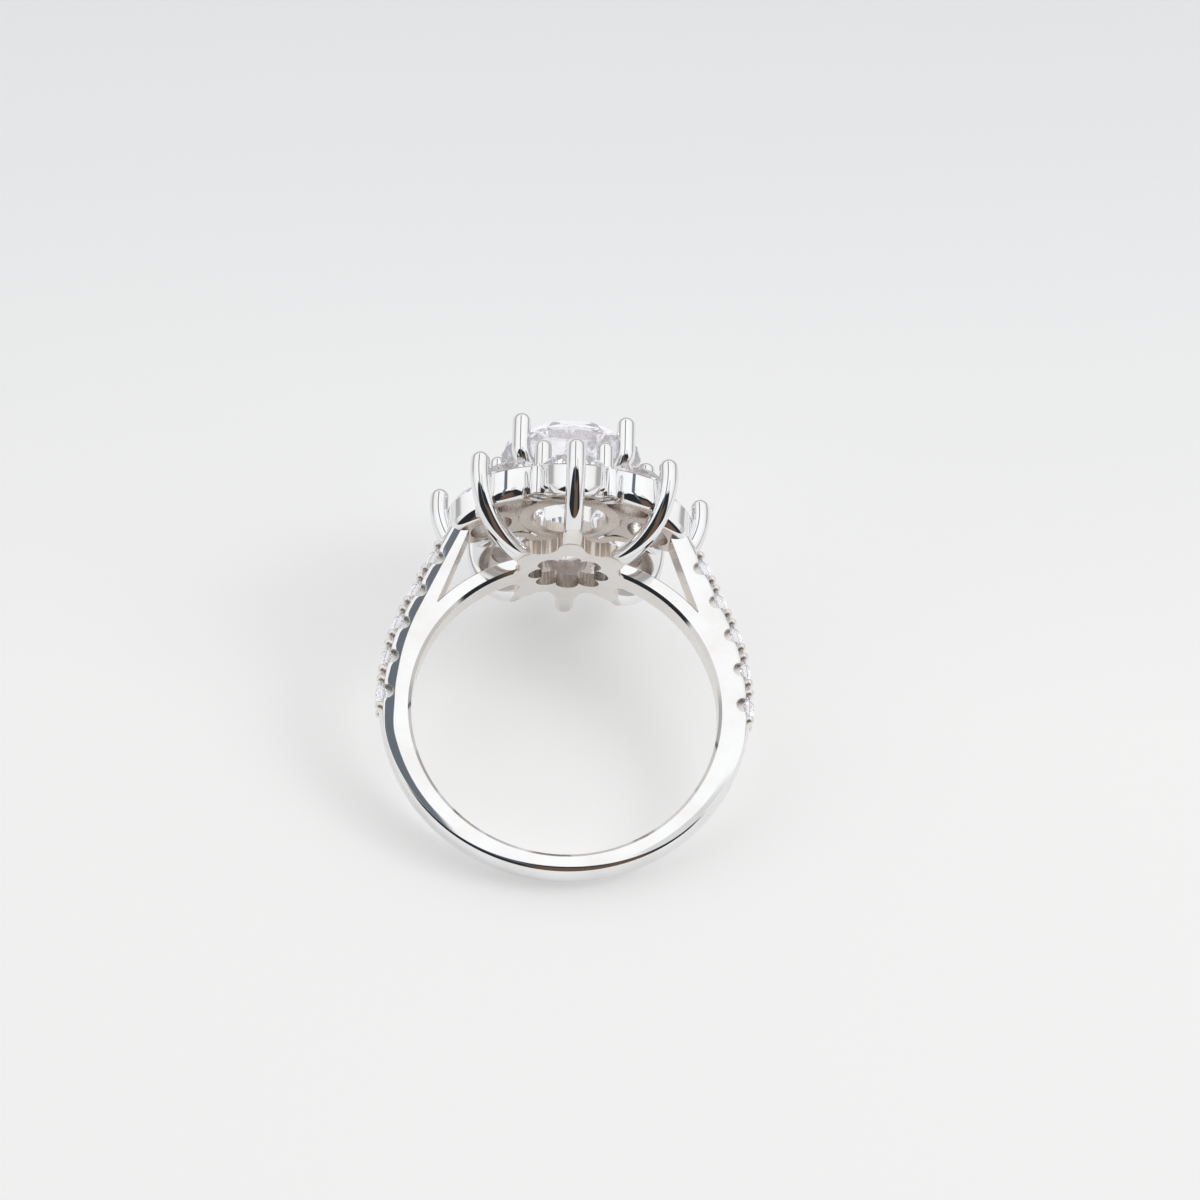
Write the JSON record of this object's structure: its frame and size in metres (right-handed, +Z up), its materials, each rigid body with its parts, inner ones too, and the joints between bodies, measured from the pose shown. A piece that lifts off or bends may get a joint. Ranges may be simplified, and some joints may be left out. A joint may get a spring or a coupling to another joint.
{
  "type": "halo ring",
  "caption": "Polished white-metal ring with cathedral shoulders, a halo of round stone petals and a raised round centre stone.",
  "frame": {"origin": "middle of the footprint of the resting ring, at table level", "axes": "+Z up off the table, +Y from the palm of the band towards the stones, +X to the right when seen from the palm end"},
  "size_m": [0.0214, 0.0268, 0.0157],
  "materials": {
    "polished_metal": "mirror-polished white precious metal, rhodium white",
    "center_stone": "clear faceted round brilliant",
    "halo_stones": "clear faceted round brilliant",
    "shoulder_stones": "clear faceted round brilliant, small"
  },
  "bodies": {
    "root": {"setting": "polished_metal", "center_stone": "center_stone", "petal_stone_1": "halo_stones", "petal_stone_2": "halo_stones", "petal_stone_3": "halo_stones", "petal_stone_4": "halo_stones", "petal_stone_5": "halo_stones", "petal_stone_6": "halo_stones", "petal_stone_7": "halo_stones", "petal_stone_8": "halo_stones", "shoulder_stone_left_1": "shoulder_stones", "shoulder_stone_left_2": "shoulder_stones", "shoulder_stone_left_3": "shoulder_stones", "shoulder_stone_left_4": "shoulder_stones", "shoulder_stone_left_5": "shoulder_stones", "shoulder_stone_right_1": "shoulder_stones", "shoulder_stone_right_2": "shoulder_stones", "shoulder_stone_right_3": "shoulder_stones", "shoulder_stone_right_4": "shoulder_stones", "shoulder_stone_right_5": "shoulder_stones"}
  },
  "joints": []
}
